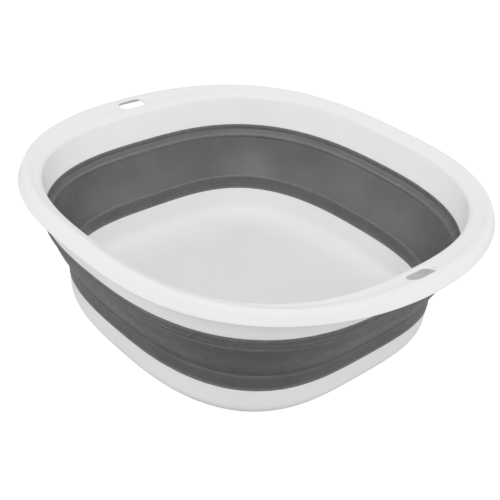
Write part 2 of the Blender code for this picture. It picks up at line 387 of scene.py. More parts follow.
@dataclass
class Mould:
    """Points and faces of one piece while it is put together.

    Attributes:
        name: Name of the finished piece.
    """

    name: str

    def __post_init__(self) -> None:
        """Start with nothing in the mould."""
        self.points = np.zeros((0, 3))
        self.wear = np.zeros(0)
        self.faces: list[np.ndarray] = []

    def add_points(self, points: np.ndarray, wear: np.ndarray) -> np.ndarray:
        """Add points with their edge wear.

        Args:
            points: Any array of points whose last axis is three.
            wear: Wear of each point, or an array that spreads to them.

        Returns:
            The new point numbers, in the shape of the array.
        """
        shape = points.shape[:-1]
        start = len(self.points)
        self.points = np.concatenate([self.points, points.reshape(-1, 3)])
        self.wear = np.concatenate([self.wear, np.broadcast_to(wear, shape).ravel()])
        return start + np.arange(int(np.prod(shape))).reshape(shape)

    def add_faces(self, faces: np.ndarray) -> None:
        """Add faces, given as any array whose last axis holds one face."""
        self.faces.append(faces.reshape(-1, faces.shape[-1]))

    def cap(self, ring: np.ndarray, x: float, y: float, z: float) -> None:
        """Close a ring with triangles to a pole at that point."""
        pole = self.add_points(np.array([[x, y, z]]), np.zeros(1))[0]
        self.add_faces(spokes(ring, pole))

    def finished(self, material: bpy.types.Material) -> bpy.types.Object:
        """Make the object: faces turned outwards, smooth shaded and dressed.

        Args:
            material: The piece's finish.

        Returns:
            The object, at the origin, unturned and unscaled.
        """
        mesh = bpy.data.meshes.new(self.name)
        faces = [face for block in self.faces for face in block.tolist()]
        mesh.from_pydata(self.points.tolist(), [], faces)
        worn = mesh.attributes.new("wear", "FLOAT", "POINT")
        worn.data.foreach_set("value", self.wear.astype(np.float32))
        body = bmesh.new()
        body.from_mesh(mesh)
        bmesh.ops.recalc_face_normals(body, faces=body.faces)
        if body.calc_volume(signed=True) < 0:
            bmesh.ops.reverse_faces(body, faces=body.faces)
        body.to_mesh(mesh)
        body.free()
        mesh.shade_smooth()
        mesh.materials.append(material)
        piece = bpy.data.objects.new(self.name, mesh)
        bpy.context.scene.collection.objects.link(piece)
        return piece


# ---------------------------------------------------------------- finishes


def mapped(tree: bpy.types.NodeTree, value: bpy.types.NodeSocket,
           numbers: tuple) -> bpy.types.NodeSocket:
    """Carry a value between two ranges, given as the four numbers of RANGE_SOCKETS."""
    node = tree.nodes.new("ShaderNodeMapRange")
    tree.links.new(value, node.inputs["Value"])
    for name, number in zip(RANGE_SOCKETS, numbers):
        node.inputs[name].default_value = number
    return node.outputs["Result"]


class Graph:
    """A material and short calls for the nodes that the finishes share."""

    def __init__(self, name: str) -> None:
        """Start a material of that name with its shader and object coordinates."""
        self.material = bpy.data.materials.new(name)
        self.material.use_nodes = True
        self.tree = self.material.node_tree
        self.shader = self.tree.nodes["Principled BSDF"]
        self.place = self.tree.nodes.new("ShaderNodeTexCoord").outputs["Object"]

    def constant(self, **values: object) -> None:
        """Set the shader's own sockets, named with underscores for spaces."""
        for name, value in values.items():
            self.shader.inputs[name.replace("_", " ")].default_value = value

    def feed(self, source: bpy.types.NodeSocket, target: bpy.types.NodeSocket) -> None:
        """Link one socket to another."""
        self.tree.links.new(source, target)

    def stretched(self, scale: tuple, turn: tuple = (0.0, 0.0, 0.0)) -> bpy.types.NodeSocket:
        """Object coordinates scaled differently along each axis, after a turn."""
        node = self.tree.nodes.new("ShaderNodeMapping")
        node.inputs["Scale"].default_value = scale
        node.inputs["Rotation"].default_value = turn
        self.feed(self.place, node.inputs["Vector"])
        return node.outputs["Vector"]

    def noise(self, scale: float, detail: float = 2.0,
              place: bpy.types.NodeSocket | None = None) -> bpy.types.NodeSocket:
        """Cloudy noise from 0 to 1.

        Args:
            scale: Clouds per metre.
            detail: Number of finer layers.
            place: Coordinates, or None for the object's own.

        Returns:
            The noise value.
        """
        node = self.tree.nodes.new("ShaderNodeTexNoise")
        node.inputs["Scale"].default_value = scale
        node.inputs["Detail"].default_value = detail
        self.feed(place or self.place, node.inputs["Vector"])
        return node.outputs["Fac"]

    def attribute(self, name: str) -> bpy.types.NodeSocket:
        """One of the piece's own attributes."""
        node = self.tree.nodes.new("ShaderNodeAttribute")
        node.attribute_name = name
        return node.outputs["Fac"]

    def ranged(self, value: bpy.types.NodeSocket, source: tuple[float, float],
               target: tuple[float, float] = FULL) -> bpy.types.NodeSocket:
        """Carry a value from one range to another, held at the ends."""
        return mapped(self.tree, value, source + target)

    def dress(self, **sockets: bpy.types.NodeSocket) -> None:
        """Feed the shader's own sockets, named with underscores for spaces."""
        for name, source in sockets.items():
            self.feed(source, self.shader.inputs[name.replace("_", " ")])

    def maths(self, kind: str, first: bpy.types.NodeSocket,
              second: bpy.types.NodeSocket | float) -> bpy.types.NodeSocket:
        """Add, multiply, or otherwise join two values."""
        node = self.tree.nodes.new("ShaderNodeMath")
        node.operation = kind
        self.feed(first, node.inputs[0])
        if isinstance(second, (int, float)):
            node.inputs[1].default_value = second
        else:
            self.feed(second, node.inputs[1])
        return node.outputs["Value"]

    def tinted(self, share: bpy.types.NodeSocket, first: object, second: object,
               ) -> bpy.types.NodeSocket:
        """Mix two colours.

        Args:
            share: How much of the second colour shows.
            first: A colour as three numbers, or a socket.
            second: A colour as three numbers, or a socket.

        Returns:
            The mixed colour.
        """
        node = self.tree.nodes.new("ShaderNodeMix")
        node.data_type = "RGBA"
        self.feed(share, node.inputs["Factor"])
        for socket, colour in ((node.inputs[6], first), (node.inputs[7], second)):
            if isinstance(colour, tuple):
                socket.default_value = (*colour, 1.0)
            else:
                self.feed(colour, socket)
        return node.outputs[2]

    def bumped(self, height: bpy.types.NodeSocket, distance: float, strength: float,
               under: bpy.types.NodeSocket | None = None) -> bpy.types.NodeSocket:
        """Raise the surface.

        Args:
            height: Height from 0 to 1.
            distance: How far a height of 1 stands out, in metres.
            strength: Share of the effect.
            under: A normal to lay this bump on.

        Returns:
            The bumped normal.
        """
        node = self.tree.nodes.new("ShaderNodeBump")
        node.inputs["Distance"].default_value = distance
        node.inputs["Strength"].default_value = strength
        self.feed(height, node.inputs["Height"])
        if under is not None:
            self.feed(under, node.inputs["Normal"])
        return node.outputs["Normal"]


@dataclass(frozen=True)
class StiffPlastic:
    """White moulded plastic: satin, faintly cloudy, with handling marks along its edges.

    Attributes:
        name: Name of the material.
        colour: Main colour.
        cloud: Colour of the faint clouds in it.
        rubbed: Colour where edges are handled.
        smooth: Roughness where it is glossiest.
        matt: Roughness where it is dullest.
        depth: Share of light that passes through the thin plastic.
        depth_scale: How far that light spreads inside it.
    """

    name: str
    colour: tuple[float, float, float] = (0.83, 0.83, 0.83)
    cloud: tuple[float, float, float] = (0.795, 0.797, 0.80)
    rubbed: tuple[float, float, float] = (0.77, 0.765, 0.755)
    smooth: float = 0.34
    matt: float = 0.47
    depth: float = 0.3
    depth_scale: float = 0.004

    def material(self) -> bpy.types.Material:
        """Build the node tree and return the material."""
        graph = Graph(self.name)
        wear = graph.attribute("wear")
        clouds = graph.ranged(graph.noise(22.0, 4.0), (0.35, 0.70))
        body = graph.tinted(clouds, self.colour, self.cloud)
        patchy = graph.maths("MULTIPLY", wear, graph.ranged(graph.noise(170.0, 3.0),
                                                            (0.45, 0.75), (0.0, 0.7)))
        graph.dress(Base_Color=graph.tinted(patchy, body, self.rubbed))
        film = graph.ranged(graph.noise(95.0, 5.0), (0.30, 0.72), (self.smooth, self.matt))
        hair = graph.noise(1.0, 2.0, graph.stretched((900.0, 22.0, 22.0), (0.0, 0.0, 0.6)))
        marks = graph.ranged(hair, (0.66, 0.74), (0.0, 0.09))
        graph.dress(Roughness=graph.maths("ADD", film, marks))
        swell = graph.bumped(graph.noise(34.0, 1.0), 0.00045, 0.35)
        peel = graph.bumped(graph.noise(420.0, 2.0), 0.00006, 0.5, swell)
        grain = graph.bumped(graph.noise(2600.0, 1.0), 0.00003, 0.45, peel)
        graph.dress(Normal=grain)
        graph.constant(IOR=1.49, Metallic=0.0, Specular_IOR_Level=0.5,
                       Subsurface_Weight=self.depth, Subsurface_Radius=(1.0, 1.0, 1.0),
                       Subsurface_Scale=self.depth_scale)
        return graph.material


@dataclass(frozen=True)
class SoftPlastic:
    """Grey rubbery plastic: matt grain, light bloom on the folds and a soft sheen.

    Attributes:
        name: Name of the material.
        colour: Main colour.
        cloud: Colour of its clouds.
        bloom: Colour where folds and edges are rubbed pale.
        smooth: Roughness where it is glossiest.
        matt: Roughness where it is dullest.
        sheen: Amount of soft sheen.
    """

    name: str
    colour: tuple[float, float, float] = (0.102, 0.102, 0.103)
    cloud: tuple[float, float, float] = (0.086, 0.086, 0.087)
    bloom: tuple[float, float, float] = (0.17, 0.17, 0.17)
    smooth: float = 0.40
    matt: float = 0.54
    sheen: float = 0.04

    def material(self) -> bpy.types.Material:
        """Build the node tree and return the material."""
        graph = Graph(self.name)
        wear = graph.attribute("wear")
        clouds = graph.ranged(graph.noise(26.0, 5.0), (0.32, 0.70))
        body = graph.tinted(clouds, self.colour, self.cloud)
        patchy = graph.maths("MULTIPLY", wear, graph.ranged(graph.noise(240.0, 3.0),
                                                            (0.30, 0.70), (0.25, 0.8)))
        pale = graph.tinted(patchy, body, self.bloom)
        speck = graph.ranged(graph.noise(1500.0, 1.0), (0.62, 0.75), (0.0, 0.25))
        graph.dress(Base_Color=graph.tinted(speck, pale, self.bloom))
        film = graph.ranged(graph.noise(130.0, 4.0), (0.30, 0.72), (self.smooth, self.matt))
        graph.dress(Roughness=film)
        swell = graph.bumped(graph.noise(38.0, 1.0), 0.0006, 0.35)
        grain = graph.bumped(graph.noise(1700.0, 2.0), 0.00006, 0.6, swell)
        graph.dress(Normal=grain)
        graph.constant(IOR=1.5, Metallic=0.0, Specular_IOR_Level=0.5,
                       Sheen_Weight=self.sheen, Sheen_Roughness=0.5)
        return graph.material


@dataclass(frozen=True)
class PadRubber:
    """Dark foam rubber of the pads: open grain and dusty edges.

    Attributes:
        name: Name of the material.
        colour: Main colour.
        dusty: Colour of the dust in its pores and on its edge.
    """

    name: str
    colour: tuple[float, float, float] = (0.105, 0.105, 0.108)
    dusty: tuple[float, float, float] = (0.19, 0.187, 0.18)

    def material(self) -> bpy.types.Material:
        """Build the node tree and return the material."""
        graph = Graph(self.name)
        dust = graph.ranged(graph.noise(420.0, 4.0), (0.45, 0.72), (0.0, 0.7))
        share = graph.maths("MAXIMUM", dust, graph.attribute("wear"))
        graph.dress(Base_Color=graph.tinted(share, self.colour, self.dusty))
        graph.dress(Roughness=graph.ranged(graph.noise(300.0, 2.0), (0.3, 0.7), (0.68, 0.86)))
        graph.dress(Normal=graph.bumped(graph.noise(1300.0, 3.0), 0.00012, 0.7))
        graph.constant(IOR=1.45, Metallic=0.0, Specular_IOR_Level=0.35)
        return graph.material


@dataclass(frozen=True)
class FloorPaint:
    """Pale studio floor.

    Attributes:
        name: Name of the material.
        colour: Colour of the floor.
        glow: Light of its own that lifts it to a clean white.
        dimming: Brightness of its faint clouds, as a share of the main colour.
    """

    name: str = "studio_floor"
    colour: tuple[float, float, float] = (0.80, 0.80, 0.80)
    glow: float = 1.35
    dimming: float = 0.985

    def material(self) -> bpy.types.Material:
        """Build the node tree and return the material."""
        graph = Graph(self.name)
        clouds = graph.ranged(graph.noise(3.0, 3.0), (0.3, 0.7))
        dimmer = tuple(self.dimming * value for value in self.colour)
        graph.dress(Base_Color=graph.tinted(clouds, self.colour, dimmer))
        graph.constant(Roughness=0.75, Emission_Color=(1.0, 1.0, 1.0, 1.0),
                       Emission_Strength=self.glow)
        return graph.material


# ---------------------------------------------------------------- the basin


@dataclass(frozen=True)
class Seams:
    """Where the stiff mouldings meet the soft wall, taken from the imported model.

    Attributes:
        thickness: Thickness of every moulding at its seam.
        tongue: Thickness of the tongue on each stiff moulding.
        tongue_depth: How far a tongue reaches into the soft wall.
        clearance: Room round a tongue in its groove.
        join: Room between the faces that meet at a seam.
        edge: Rounding of the edges along a seam.
    """

    thickness: float = 0.0030
    tongue: float = 0.0010
    tongue_depth: float = 0.0050
    clearance: float = 0.0003
    join: float = 0.00006
    edge: float = 0.00028

    @property
    def seat(self) -> float:
        """Height of the band that holds a tongue."""
        return self.tongue_depth + 3 * self.clearance

    def upper(self) -> tuple[float, float, float]:
        """Half length, half width and height of the rim seam."""
        _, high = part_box("folding_wall")
        return (high.x - self.thickness / 2, high.y - self.thickness / 2,
                high.z + self.clearance)

    def lower(self) -> tuple[float, float, float]:
        """Half length, half width and height of the tub seam."""
        _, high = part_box("base_tub")
        return (high.x - self.thickness / 2, high.y - self.thickness / 2,
                high.z - self.tongue_depth)

    def post(self, middle: float, half: float, mouth: float, tip: float) -> list:
        """Corners of an upright post about a middle reach, inner side first."""
        return [(middle - half, mouth), (middle - half, tip), (middle + half, tip),
                (middle + half, mouth)]

    def tongue_corners(self, middle: float, seam: float, way: int) -> list:
        """Corners of a tongue, inner side first; way is +1 up or -1 down."""
        return self.post(middle, self.tongue / 2, seam, seam + way * self.tongue_depth)

    def groove_corners(self, middle: float, seam: float, way: int) -> list:
        """Corners of a groove, inner side first; way is +1 up or -1 down."""
        return self.post(middle, self.tongue / 2 + self.clearance, seam + way * self.join,
                         seam + way * (self.tongue_depth + self.clearance))


@dataclass
class Rim:
    """The stiff upper ring: skirt, sloping flange, rolled lip and two hanging slots.

    Attributes:
        seams: The seams it shares with the wall.
        finish: Its plastic.
        plastic: Wall thickness.
        handle_reach: From the seam's middle to the lip's outer face at a handle.
        side_reach: The same at a long side.
        handle_drop: How far the lip hangs at a handle.
        side_drop: How far the lip hangs at a side.
        flange_fall: How far the flange's inner end lies below its outer end.
        crest_rise: How far the lip's corner point stands above the flange.
        handle_ledge: Width of the flange at a handle.
        side_ledge: Width of the flange at a side.
        handle_sag: How far the flange's middle hangs at a handle.
        side_sag: The same at a side.
        sag_fillet: Radius along that hollow.
        lip_spread: How far the lip leans out on its way down.
        skirt_fillet: Radius between skirt and flange.
        lip_fillet: Radius between flange and lip.
        slot_length: Length of a hanging slot, along Y.
        slot_width: Width of a hanging slot, along X.
        slot_inset: From the slot's middle to the lip's outer face.
        slot_round: Rounding of the slot's edges.
        slot_columns: Columns of the grid on each side of a slot's middle.
        slot_margin: Room between a slot and the window it is cut in.
        slot_spare: More of that room on the inner side.
        lip_end: Depth of the lip's rounded end, as a share of the plastic.
        seam_share: Share of the way over which the seam's thickness fades.
        crest_share: Share of the way at which the crest lies.
        wear_bend: Bend radius at which an edge is fully worn.
        square_seam: How square the outline is at the seam, along X and along Y.
        square_crest: The same at the crest.
        square_lip: The same at the lip's end.
    """

    seams: Seams
    finish: StiffPlastic
    plastic: float = 0.0028
    handle_reach: float = 0.0338
    side_reach: float = 0.0184
    handle_drop: float = 0.0098
    side_drop: float = 0.0116
    flange_fall: float = 0.0048
    crest_rise: float = 0.0012
    handle_ledge: float = 0.0235
    side_ledge: float = 0.0100
    handle_sag: float = 0.0018
    side_sag: float = 0.0004
    sag_fillet: float = 0.0300
    lip_spread: float = 0.0062
    skirt_fillet: float = 0.0060
    lip_fillet: float = 0.0065
    slot_length: float = 0.029
    slot_width: float = 0.0130
    slot_inset: float = 0.0185
    slot_round: float = 0.0009
    slot_columns: int = 8
    slot_margin: float = 0.0022
    slot_spare: float = 0.0004
    lip_end: float = 0.4
    seam_share: float = 0.15
    crest_share: float = 0.55
    wear_bend: float = 0.0012
    square_seam: tuple[float, float] = (2.45, 2.80)
    square_crest: tuple[float, float] = (2.65, 2.50)
    square_lip: tuple[float, float] = (2.75, 2.05)

    def middle_line(self, seam: float, reach: float, ledge: float, drop: float,
                    sag: float) -> np.ndarray:
        """Middle line of the rim in one upright plane, from the seam to the lip.

        Args:
            seam: Reach of the seam.
            reach: How far the lip's outer face stands beyond the seam.
            ledge: Width of the flange.
            drop: How far the lip hangs.
            sag: How far the flange's middle hangs below a straight line.

        Returns:
            Points (reach, height).
        """
        top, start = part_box("rim")[1].z, self.seams.upper()[2]
        lip = seam + reach - self.plastic / 2
        crest = lip - self.lip_spread
        low = top - self.plastic / 2 - self.flange_fall
        high = top - self.plastic / 2 + self.crest_rise
        corners = [(seam, start), (crest - ledge, low),
                   (crest - ledge / 2, (low + high) / 2 - sag), (crest, high),
                   (lip, top - drop)]
        return bent_line(corners, (self.skirt_fillet, self.sag_fillet, self.lip_fillet),
                         (14, 6, 6, 4), (8, 6, 12))

    def section(self, line: np.ndarray) -> tuple[np.ndarray, np.ndarray, np.ndarray]:
        """Closed section about a middle line.

        Formula: outer face = line + normal * half, inner face = line - normal * half; the
        lip ends in half an ellipse, and the tongue hangs from the seam.

        Args:
            line: The middle line.

        Returns:
            The section's points, the share of the way at each, and the middle-line station
            of each, or -1 on the lip's end and the tongue.
        """
        normal, share = measured(line)
        normal[0] = (1.0, 0.0)
        half = np.interp(share, (0.0, self.seam_share, 1.0),
                         (self.seams.thickness / 2, self.plastic / 2, self.plastic / 2))
        end = round_end(line[-1], normal[-1], self.plastic / 2, self.lip_end * self.plastic, 8)
        outer, inner = line + normal * half[:, None], line - normal * half[:, None]
        tongue = np.array(self.seams.tongue_corners(line[0, 0], line[0, 1], -1))
        loop = np.concatenate([outer, end, inner[::-1], tongue])
        count = len(line)
        shares = np.concatenate([share, np.ones(len(end)), share[::-1], np.zeros(4)])
        station = np.concatenate([np.arange(count), np.full(len(end), -1),
                                  np.arange(count)[::-1], np.full(4, -1)])
        sharp = np.zeros(len(loop), bool)
        sharp[0] = sharp[-5] = True
        sharp[-4:] = True
        points, source = softened(loop, sharp, self.seams.edge, 3)
        return points, shares[source], station[source]

    def stadium(self, count: int, outset: float, side: Side) -> np.ndarray:
        """Plan of a hanging slot.

        Formula: the outline of a slot with round ends is walked at equal steps, from the
        middle of its outer long side; each point is moved outset along its own normal.

        Args:
            count: Number of points.
            outset: Distance outside the slot's wall.
            side: The handle.

        Returns:
            Points (x, y).
        """
        radius = self.slot_width / 2
        straight = self.slot_length / 2 - radius
        quarter = np.pi * radius / 2
        whole = 4 * (straight + quarter)
        walk = whole * np.arange(count) / count
        bend = np.clip((walk - straight) / radius, 0.0, np.pi) \
            + np.clip((walk - 3 * straight - 2 * quarter) / radius, 0.0, np.pi)
        run = np.minimum(walk, straight) \
            - np.clip(walk - straight - 2 * quarter, 0.0, 2 * straight) \
            + np.clip(walk - 3 * straight - 4 * quarter, 0.0, straight)
        x = np.cos(bend) * (radius + outset)
        y = run + np.sin(bend) * (radius + outset)
        centre = self.seams.upper()[0] + self.handle_reach - self.slot_inset
        return np.stack([side.value * (centre + x), side.value * y], axis=1)

    def add_slot(self, mould: Mould, shell: RoundedShell, index: np.ndarray,
                 faces: np.ndarray, station: np.ndarray, side: Side) -> np.ndarray:
        """Open a hanging slot through the flange of one handle.

        Formula: a window of the grid is left out of both faces of the flange. Rings run from
        the upper window's border to the slot, over an edge rounded by d = r (1 - sin a) and
        depth r (1 - cos a), down the slot's wall, over the lower edge and out to the lower
        window's border. Heights come from the shell's own surface.

        Args:
            mould: Where the points and faces go.
            shell: The rim's surface.
            index: Point numbers of the grid.
            faces: Faces of the grid.
            station: Middle-line station of each row.
            side: The handle.

        Returns:
            A mask of the grid faces that stay.
        """
        around, reach = shell.around, self.slot_columns
        middle = 0 if side is Side.PLUS else around // 2
        count = int(station.max()) + 1
        lower = np.array([np.flatnonzero(station == k)[0] for k in range(count)])
        upper = np.array([np.flatnonzero(station == k)[-1] for k in range(count)])
        first, last = self.window(shell, lower)
        rows, columns = window_loop(first, last, middle - reach, middle + reach)
        columns = columns % around
        top, under = index[upper[rows], columns], index[lower[rows], columns]
        rise = np.arange(1, count - 1)
        rounding = np.radians((0.0, 22.5, 45.0, 67.5, 90.0))
        rings, wears = [], []
        for border, table, sign in ((top, upper, -1.0), (under, lower, 1.0)):
            face = []
            plan_border = mould.points[border, :2]
            plan_slot = self.stadium(len(border), self.slot_round, side)
            for share in (0.2, 0.4, 0.6, 0.8):
                plan = plan_border + (plan_slot - plan_border) * share
                face.append((plan, shell.height(table[rise], plan), 0.0))
            for a in rounding:
                plan = self.stadium(len(border), self.slot_round * (1 - np.sin(a)), side)
                depth = sign * self.slot_round * (1 - np.cos(a))
                face.append((plan, shell.height(table[rise], plan) + depth, float(np.sin(2 * a))))
            points = [np.column_stack([plan, height]) for plan, height, _ in face]
            rings.append(np.array(points))
            wears.append(np.array([worn for _, _, worn in face]))
        points = np.concatenate([rings[0], rings[1][::-1]])
        wear = np.concatenate([wears[0], wears[1][::-1]])
        new = mould.add_points(points, wear[:, None])
        mould.add_faces(grid_faces(np.concatenate([top[None], new, under[None]]), False))
        keep = np.ones(faces.shape[:2], bool)
        cut = np.arange(middle - reach, middle + reach) % around
        for table in (lower, upper):
            low = min(table[first], table[last])
            high = max(table[first], table[last])
            keep[np.ix_(np.arange(low, high), cut)] = False
        return keep

    def window(self, shell: RoundedShell, lower: np.ndarray) -> tuple[int, int]:
        """First and last middle-line station of the window round a slot."""
        centre = self.seams.upper()[0] + self.handle_reach - self.slot_inset
        reach = shell.section_x[lower, 0]
        margin = self.slot_width / 2 + self.slot_margin
        last = int(np.argmax(reach > centre + margin))
        before = np.flatnonzero(reach < centre - margin - self.slot_spare)
        return int(before[-1]) if (before < last).any() else 1, last

    def build(self) -> bpy.types.Object:
        """Make the rim and return it."""
        half_x, half_y, _ = self.seams.upper()
        line_x = self.middle_line(half_x, self.handle_reach, self.handle_ledge,
                                  self.handle_drop, self.handle_sag)
        line_y = self.middle_line(half_y, self.side_reach, self.side_ledge, self.side_drop,
                                  self.side_sag)
        loop_x, share, station = self.section(line_x)
        loop_y, _, _ = self.section(line_y)
        marks = (0.0, self.crest_share, 1.0)
        squares = np.stack([
            curved_through(share, marks, (self.square_seam[k], self.square_crest[k],
                                          self.square_lip[k])) for k in (0, 1)], axis=1)
        shell = RoundedShell(loop_x, loop_y, squares)
        mould = Mould("rim_moulding")
        wear = edge_wear(loop_x, self.wear_bend)
        index = mould.add_points(shell.points(), wear[:, None])
        faces = grid_faces(index, True)
        keep = np.ones(faces.shape[:2], bool)
        for side in Side:
            keep &= self.add_slot(mould, shell, index, faces, station, side)
        mould.add_faces(faces[keep])
        piece = mould.finished(self.finish.material())
        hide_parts("rim")
        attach(piece, Body.RIM.value)
        return piece


@dataclass
class FoldingWall:
    """The soft wall: a band at each seam, two thin hinges and the panel between them.

    Attributes:
        seams: The seams it shares with the stiff mouldings.
        finish: Its soft plastic.
        upper_band: Height of the band above the upper hinge.
        lower_band: Height of the band below the lower hinge.
        upper_in: How far the upper hinge lies inside the rim seam.
        lower_out: How far the lower hinge lies outside the tub seam.
        panel_top: Thickness of the panel below the upper hinge.
        panel_foot: Thickness of the panel above the lower hinge.
        hinge: Thickness at the hinges.
        bulge: How far the panel's middle stands out.
        shoulder: Height over which the wall thickens beside a hinge.
        slack: Half the height of the thin part of a hinge.
        bead: How far the inner bead stands out.
        bead_marks: Shoulders below the lower hinge, then below the upper hinge, at which the
            inner bead starts and is highest.
        seat_fillet: Radius where a band meets the wall.
        hinge_fillet: Radius at a hinge.
        panel_fillet: Radius at the panel's middle.
        wear_bend: Bend radius at which an edge is fully worn.
        square_lower: How square the outline is at the tub seam, along X and along Y.
        square_upper: The same at the rim seam.
    """

    seams: Seams
    finish: SoftPlastic
    upper_band: float = 0.0108
    lower_band: float = 0.0167
    upper_in: float = 0.0034
    lower_out: float = 0.0012
    panel_top: float = 0.0030
    panel_foot: float = 0.0015
    hinge: float = 0.0012
    bulge: float = 0.0020
    shoulder: float = 0.0024
    slack: float = 0.0002
    bead: float = 0.0008
    bead_marks: tuple[float, ...] = (1.6, 0.6, 1.5, 0.4)
    wear_bend: float = 0.0030
    seat_fillet: float = 0.0040
    hinge_fillet: float = 0.0020
    panel_fillet: float = 0.1500
    square_lower: tuple[float, float] = (2.63, 3.30)
    square_upper: tuple[float, float] = (2.45, 2.80)

    def hinges(self) -> tuple[float, float]:
        """Heights of the upper and the lower hinge."""
        return (self.seams.upper()[2] - self.upper_band,
                self.seams.lower()[2] + self.lower_band)

    def section(self, top: float, bottom: float) -> np.ndarray:
        """Closed section of the wall in one upright plane.

        Formula: a bent middle line from the rim seam to the tub seam, with a face to each
        side whose distance is carried smoothly by height. The upper hinge is a groove in the
        outer face, with a small bead on the inner face; the lower hinge is the panel's thin
        foot.

        Args:
            top: Reach of the rim seam.
            bottom: Reach of the tub seam.

        Returns:
            The section's points.
        """
        seams = self.seams
        rim_z, tub_z = seams.upper()[2], seams.lower()[2]
        high_z, low_z = self.hinges()
        upper = (top - self.upper_in, high_z)
        lower = (bottom + self.lower_out, low_z)
        middle = ((upper[0] + lower[0]) / 2 + self.bulge, (high_z + low_z) / 2)
        corners = [(top, rim_z - seams.join), (top, rim_z - seams.seat), upper, middle, lower,
                   (bottom, tub_z + seams.seat), (bottom, tub_z + seams.join)]
        radii = (self.seat_fillet, self.hinge_fillet, self.panel_fillet, self.hinge_fillet,
                 self.seat_fillet)
        line = bent_line(corners, radii, (3, 8, 14, 14, 14, 3), (3, 5, 6, 5, 3))
        normal, _ = measured(line)
        normal[0] = normal[-1] = (-1.0, 0.0)
        band, foot, panel = seams.thickness / 2, self.panel_foot / 2, self.panel_top / 2
        out_marks = [low_z - self.shoulder, low_z + self.slack, high_z - self.shoulder,
                     high_z - self.slack, high_z + self.slack, high_z + self.shoulder]
        out_half = eased_through(line[:, 1], out_marks, [
            band, foot, panel, self.hinge - band, self.hinge - band, band])
        falls = [share * self.shoulder for share in self.bead_marks]
        in_marks = [low_z - falls[0], low_z - falls[1], low_z + self.slack,
                    high_z - falls[2], high_z - falls[3], high_z + self.shoulder]
        in_half = eased_through(line[:, 1], in_marks, [
            band, band + self.bead / 2, foot, panel, panel + self.bead, band])
        outer, inner = line - normal * out_half[:, None], line + normal * in_half[:, None]
        low_groove = np.array(seams.groove_corners(bottom, tub_z, 1))[::-1]
        high_groove = np.array(seams.groove_corners(top, rim_z, -1))
        loop = np.concatenate([outer, low_groove, inner[::-1], high_groove])
        count = len(line)
        sharp = np.zeros(len(loop), bool)
        sharp[[0, count - 1, count + 4, 2 * count + 3]] = True
        sharp[count:count + 4] = sharp[-4:] = True
        return softened(loop, sharp, seams.edge * 0.5, 3)[0]

    def build(self) -> bpy.types.Object:
        """Make the folding wall and return it."""
        top_x, top_y, rim_z = self.seams.upper()
        low_x, low_y, tub_z = self.seams.lower()
        loop_x, loop_y = self.section(top_x, low_x), self.section(top_y, low_y)
        marks = (tub_z + self.seams.seat, rim_z - self.seams.seat)
        squares = np.stack([np.interp(loop_x[:, 1], marks,
                                      (self.square_lower[k], self.square_upper[k]))
                            for k in (0, 1)], axis=1)
        shell = RoundedShell(loop_x, loop_y, squares)
        mould = Mould("folding_wall_moulding")
        wear = edge_wear(loop_x, self.wear_bend)
        index = mould.add_points(shell.points(), wear[:, None])
        mould.add_faces(grid_faces(index, True))
        piece = mould.finished(self.finish.material())
        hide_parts("folding_wall")
        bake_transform(piece)
        return piece


@dataclass
class Pads:
    """Four soft pads let into the underside.

    Attributes:
        finish: Their rubber.
        round_edge: Rounding of a pad's edge.
        groove: Depth of the ring pressed into the face.
        groove_at: Radius of that ring, as a share of the pad's.
        groove_half: Half the width of that ring.
        hub: Radius of the innermost column, as a share of the pad's.
        dust: Width of the dusty edge.
        dustiness: How dusty that edge is.
        around: Number of columns.
    """

    finish: PadRubber
    round_edge: float = 0.0007
    groove: float = 0.0004
    groove_at: float = 0.62
    groove_half: float = 0.0012
    hub: float = 0.06
    dust: float = 0.0008
    dustiness: float = 0.6
    around: int = 96

    def place(self, number: int) -> tuple[np.ndarray, float, float]:
        """Centre, radius and top height of a pad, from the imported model."""
        low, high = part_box(f"foot_{number}")
        centre = np.array([(low.x + high.x) / 2, (low.y + high.y) / 2])
        return centre, (high.x - low.x) / 2, high.z

    def section(self, radius: float, top: float) -> np.ndarray:
        """Half section of a pad from the middle of its face round to its top.

        Formula: level face with a ring pressed in by groove * cos^2 across its width, a quarter
        arc to the side, and a smaller quarter arc to the top.

        Args:
            radius: The pad's radius.
            top: The pad's top height; its face is at zero.

        Returns:
            Points (radius, height).
        """
        face = np.linspace(self.hub, 1.0, 40) * (radius - self.round_edge)
        across = np.clip((face - self.groove_at * radius) / self.groove_half, -1.0, 1.0)
        pressed = self.groove * np.cos(across * np.pi / 2) ** 2
        a = np.linspace(0.0, np.pi / 2, 7)[1:]
        low = np.stack([radius - self.round_edge + self.round_edge * np.sin(a),
                        self.round_edge * (1 - np.cos(a))], axis=1)
        small = self.round_edge * 0.5
        high = np.stack([radius - small + small * np.cos(a), top - small + small * np.sin(a)],
                        axis=1)
        middle = np.array([[radius, top - small]])
        lid = np.stack([np.linspace(0.9, self.hub, 12) * radius, np.full(12, top)], axis=1)
        return np.concatenate([np.stack([face, pressed], axis=1), low, middle, high, lid])

    def build(self) -> list[bpy.types.Object]:
        """Make the pads and return them."""
        material = self.finish.material()
        pieces = []
        a = full_turn(self.around)
        for number in PAD_NUMBERS:
            centre, radius, top = self.place(number)
            line = self.section(radius, top)
            points = np.stack([centre[0] + line[:, :1] * np.cos(a),
                               centre[1] + line[:, :1] * np.sin(a),
                               np.repeat(line[:, 1:], self.around, axis=1)], axis=2)
            wear = np.exp(-((line[:, 0] - radius) / self.dust) ** 2) * self.dustiness
            mould = Mould(f"pad_{number}")
            index = mould.add_points(points, wear[:, None])
            mould.add_faces(grid_faces(index, False))
            for end in (0, -1):
                mould.cap(index[end], *centre, line[end, 1])
            piece = mould.finished(material)
            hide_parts(f"foot_{number}")
            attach(piece, Body.BASE.value)
            pieces.append(piece)
        return pieces


